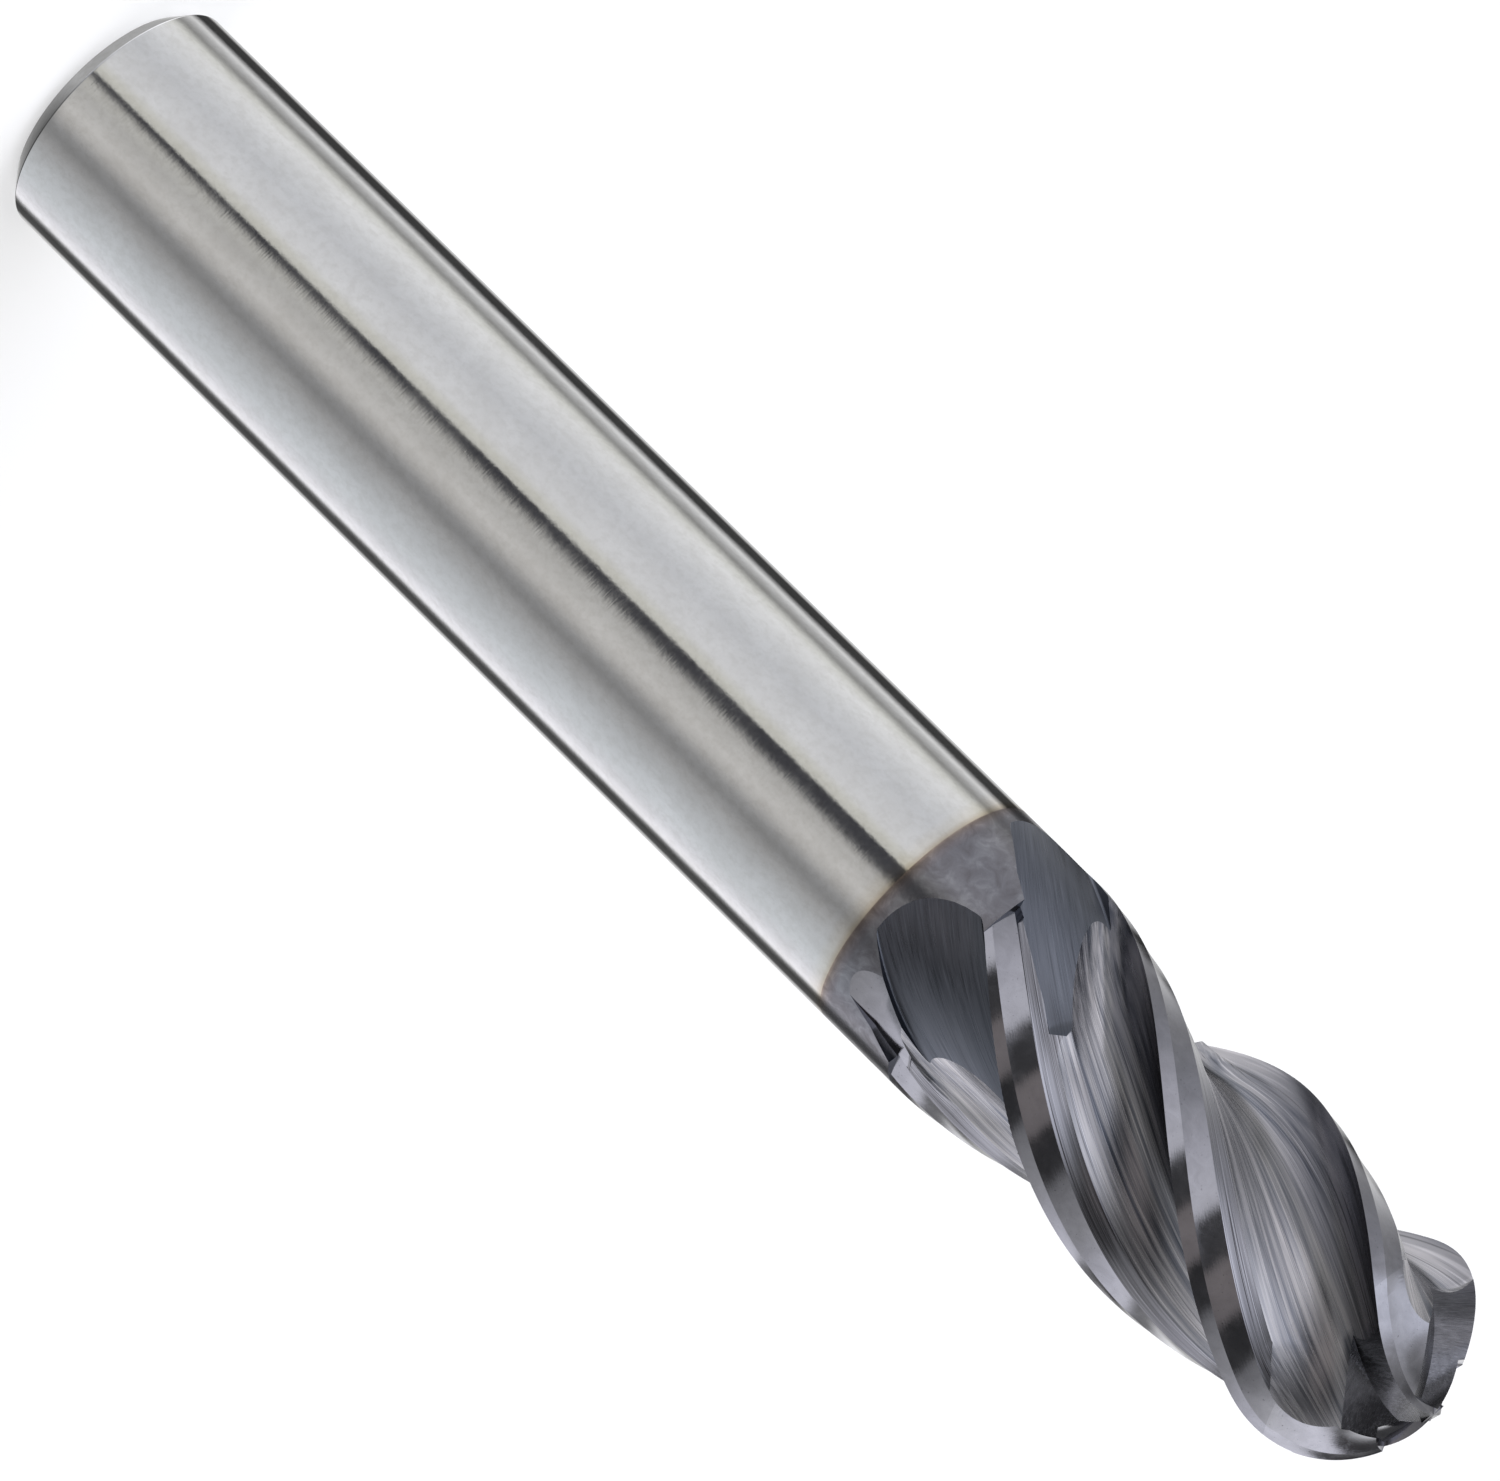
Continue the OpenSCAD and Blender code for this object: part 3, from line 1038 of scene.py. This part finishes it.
def make_camera():
    """Camera with the tip at its lower right and the shank end at its upper left."""
    data = bpy.data.cameras.new("camera")
    data.lens = CAMERA_LENS
    data.sensor_width = 36.0
    data.clip_start = 0.01
    data.clip_end = 10.0
    camera = bpy.data.objects.new("camera", data)
    bpy.context.scene.collection.objects.link(camera)
    forward = Vector((0, math.cos(CAMERA_TILT), -math.sin(CAMERA_TILT)))
    tipward = Vector((0, math.sin(CAMERA_TILT), math.cos(CAMERA_TILT)))
    side = Vector((1, 0, 0))
    right = math.cos(CAMERA_ROLL) * tipward - math.sin(CAMERA_ROLL) * side
    up = -math.sin(CAMERA_ROLL) * tipward - math.cos(CAMERA_ROLL) * side
    rotation = Matrix((right, up, -forward)).transposed().to_4x4()
    place = Vector((CAMERA_SIDE, 0, CAMERA_AIM_Z)) - CAMERA_DISTANCE * forward
    camera.matrix_world = Matrix.Translation(place * MM) @ rotation
    bpy.context.scene.camera = camera


# --- Shank ---

SHANK_CHAMFER = 0.8
SOFT_EDGE = 0.1
END_RING_R = 2.5  # an extra ring on the end face, which keeps its shading flat
WALL_START_Z = 1.2
CHAMFER_SHARP = math.radians(30)


def rounded_corner(before, corner, after, radius, count=5):
    """Points of a fillet between two straight stretches of an outline."""
    before, corner, after = (np.array(p, float) for p in (before, corner, after))
    u = (before - corner) / np.linalg.norm(before - corner)
    v = (after - corner) / np.linalg.norm(after - corner)
    half = math.acos(np.clip(u @ v, -1, 1)) / 2
    reach = radius / math.tan(half)
    middle = corner + (u + v) / np.linalg.norm(u + v) * radius / math.sin(half)
    start, stop = corner + u * reach, corner + v * reach
    a0, a1 = (math.atan2(*(p - middle)[::-1]) for p in (start, stop))
    sweep = (a1 - a0 + math.pi) % (2 * math.pi) - math.pi
    return [tuple(middle + polar(radius, a0 + sweep * k / count)) for k in range(count + 1)]


def make_shank(material):
    """Ground shank with its chamfered end."""
    foot = (TOOL_R - SHANK_CHAMFER, 0.0)
    shoulder = (TOOL_R, SHANK_CHAMFER)
    outline = [(0, 0), (END_RING_R, 0)]
    outline += rounded_corner((END_RING_R, 0), foot, shoulder, SOFT_EDGE)
    outline += rounded_corner(foot, shoulder, (TOOL_R, WALL_START_Z), SOFT_EDGE)
    outline += [(TOOL_R, z) for z in np.linspace(WALL_START_Z, SHANK_TOP, 30)]
    outline += [(0, SHANK_TOP)]
    shank = revolved_solid("shank_ground", outline, [material])
    mesh = shank.data
    mesh.transform(Matrix.Scale(MM, 4))
    mesh.shade_smooth()
    mesh.set_sharp_from_angle(angle=CHAMFER_SHARP)
    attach(shank, "root")
    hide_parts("shank")


# --- Studio ---

def at(degrees):
    """Place of a compass angle on a ramp; zero is the side of the camera, positive towards +X."""
    return (degrees + 180) / 360


# Light around the tool as (compass angle, colour) stops, one band above another, where one number is
# a grey. Heights are degrees above the horizon. LOW is what the shank mirrors towards the camera.
LOW_BAND = ((-180, 0.7), (-163, 0.6), (-156, 0.06), (-138, 0.05), (-132, 0.5), (-128, 0.9),
            (-122, 0.62), (-112, (0.31, 0.31, 0.30)), (-103, (0.84, 0.84, 0.80)), (-94, 0.94),
            (-72, (0.77, 0.78, 0.80)), (-58, (0.70, 0.71, 0.735)), (-28, (0.83, 0.83, 0.84)),
            (-20, (0.73, 0.72, 0.66)), (6, (0.55, 0.54, 0.52)), (22, (0.68, 0.663, 0.64)),
            (30, (0.57, 0.555, 0.535)), (40, 0.34), (47, 0.29), (58, 0.43), (80, (0.62, 0.64, 0.66)),
            (98, (0.76, 0.79, 0.82)), (112, (0.86, 0.87, 0.91)), (122, (1.06, 1.05, 1.1)),
            (130, (1.2, 1.19, 1.23)), (136, 0.2), (142, 0.07), (156, 0.10), (163, 0.6), (180, 0.7))
MID_BAND = ((-180, 0.7), (-160, 1.2), (-146, 1.1), (-134, 0.9), (-122, 0.7), (-96, (0.8, 0.81, 0.84)),
            (-84, (0.95, 0.96, 1.0)), (-70, (1.3, 1.3, 1.35)), (-60, (1.5, 1.5, 1.57)),
            (-40, (1.8, 1.8, 1.86)), (-27, (1.9, 1.9, 1.95)), (-21, 0.16), (0, 0.16),
            (4, (0.66, 0.60, 0.57)), (27, (0.60, 0.55, 0.53)), (31, 0.10), (51, 0.12), (57, 0.6),
            (85, 1.1), (110, (1.9, 1.9, 2.0)), (124, (2.1, 2.1, 2.2)), (130, 0.5), (140, 0.5),
            (147, 1.5), (158, 2.0), (170, 0.8), (180, 0.7))
DEEP_BAND = ((-180, 0.5), (-166, 0.45), (-154, 0.5), (-140, 1.1), (-122, (1.7, 1.7, 1.75)),
             (-96, (1.25, 1.25, 1.3)), (-72, (0.86, 0.87, 0.92)), (-48, (0.58, 0.59, 0.64)),
             (-24, (0.42, 0.43, 0.47)), (0, (0.33, 0.335, 0.36)), (24, 0.24), (48, 0.12), (72, 0.06),
             (100, 0.05), (150, 0.08), (164, 0.3), (180, 0.5))
HIGH_BAND = ((-180, 0.3), (-130, 0.9), (-84, (1.9, 1.95, 2.1)), (-50, (2.1, 2.15, 2.3)),
             (-30, (1.8, 1.85, 2.0)), (-14, (1.0, 1.03, 1.1)), (0, 0.45), (16, 0.14), (46, 0.16),
             (60, 0.9), (90, 1.7), (125, (2.2, 2.2, 2.3)), (131, (2.2, 2.2, 2.3)), (136, 0.12),
             (160, 0.15), (180, 0.3))
TOP_BAND = ((-180, 0.1), (-150, 0.15), (-110, 0.6), (-75, (1.1, 1.1, 1.15)), (-55, 0.9), (-40, 0.3),
            (0, 0.15), (60, 0.25), (180, 0.1))
ZENITH = (0.2, 0.2, 0.21, 1)

# Heights over which one band fades into the next
DEEP_TO_LOW = (-36.0, -26.0)
LOW_TO_MID = (-13.0, -9.0)
MID_TO_HIGH = (15.0, 28.0)
HIGH_TO_TOP = (46.0, 58.0)
TOP_TO_ZENITH = (72.0, 82.0)

# The thin dark gap in the LOW band; its far side leans from one angle to another with the height
GAP_COLOUR = (0.06, 0.06, 0.068, 1)
GAP_START = -14.6
GAP_HEIGHTS = (-23.0, -18.0)
GAP_ENDS = (-9.0, 3.0)
GAP_SHARP = 0.5
GAP_SOFT = 4.0


def band(tree, compass, stops):
    colours = [(angle, light if isinstance(light, tuple) else (light,) * 3) for angle, light in stops]
    return ramp(tree, compass, [(at(angle), colour) for angle, colour in colours])


def make_world():
    """Soft studio: pale walls and lamps with darker gaps, in bands by height above the horizon."""
    world = bpy.data.worlds.new("studio")
    world.use_nodes = True
    tree = world.node_tree
    way = node(tree, "TexCoord").outputs["Generated"]
    x, y, z = split(tree, way)
    angle = maths(tree, "ARCTAN2", x, maths(tree, "MULTIPLY", y, -1.0))
    degrees = maths(tree, "MULTIPLY", angle, 180 / math.pi)
    compass = maths(tree, "ADD", maths(tree, "DIVIDE", degrees, 360.0), 0.5)
    height = maths(tree, "MULTIPLY", maths(tree, "ARCSINE", z), 180 / math.pi)
    gap_end = remap(tree, height, *GAP_HEIGHTS, *GAP_ENDS, smooth=False)
    gap_from = maths(tree, "SUBTRACT", gap_end, GAP_SOFT)
    gap_to = maths(tree, "ADD", gap_end, GAP_SOFT)
    gap = maths(tree, "MULTIPLY", remap(tree, degrees, GAP_START - GAP_SHARP, GAP_START + GAP_SHARP),
                remap(tree, degrees, gap_from, gap_to, 1.0, 0.0))
    colour = blend(tree, gap, band(tree, compass, LOW_BAND), GAP_COLOUR)
    colour = blend(tree, remap(tree, height, *DEEP_TO_LOW), band(tree, compass, DEEP_BAND), colour)
    for heights, stops in ((LOW_TO_MID, MID_BAND), (MID_TO_HIGH, HIGH_BAND), (HIGH_TO_TOP, TOP_BAND)):
        colour = blend(tree, remap(tree, height, *heights), colour, band(tree, compass, stops))
    colour = blend(tree, remap(tree, height, *TOP_TO_ZENITH), colour, ZENITH)
    background = tree.nodes["Background"]
    tree.links.new(colour, background.inputs["Color"])
    background.inputs["Strength"].default_value = 1.0
    bpy.context.scene.world = world


FLOOR_HALF = 8.0  # metres
FILL_ENERGY = 1.35


def make_floor():
    """Plain pale floor, kept out of the tool's reflections."""
    mesh = bpy.data.meshes.new("floor")
    corners = [(x * FLOOR_HALF, y * FLOOR_HALF, 0) for x, y in ((-1, -1), (1, -1), (1, 1), (-1, 1))]
    mesh.from_pydata(corners, [], [(0, 1, 2, 3)])
    floor = bpy.data.objects.new("floor", mesh)
    bpy.context.scene.collection.objects.link(floor)
    material = new_material("pale_floor")
    shader = material.node_tree.nodes["Principled BSDF"]
    shader.inputs["Base Color"].default_value = (0.88, 0.88, 0.88, 1)
    shader.inputs["Roughness"].default_value = 0.9
    shader.inputs["Specular IOR Level"].default_value = 0.0
    mesh.materials.append(material)
    floor.visible_glossy = False


def make_fill_light():
    """Even light from above that whitens the floor: it casts no shadow and the metal doesn't mirror it."""
    lamp = bpy.data.lights.new("fill_light", "SUN")
    lamp.energy = FILL_ENERGY
    lamp.use_shadow = False
    light = bpy.data.objects.new("fill_light", lamp)
    light.visible_glossy = False
    bpy.context.scene.collection.objects.link(light)


# --- The model ---

make_camera()
make_world()
make_floor()
make_fill_light()
make_shank(ground_carbide())
head_slots = make_slots()
make_head_pieces(head_slots)
dress_core(head_slots[INNER])
bpy.context.scene.view_settings.view_transform = "Standard"
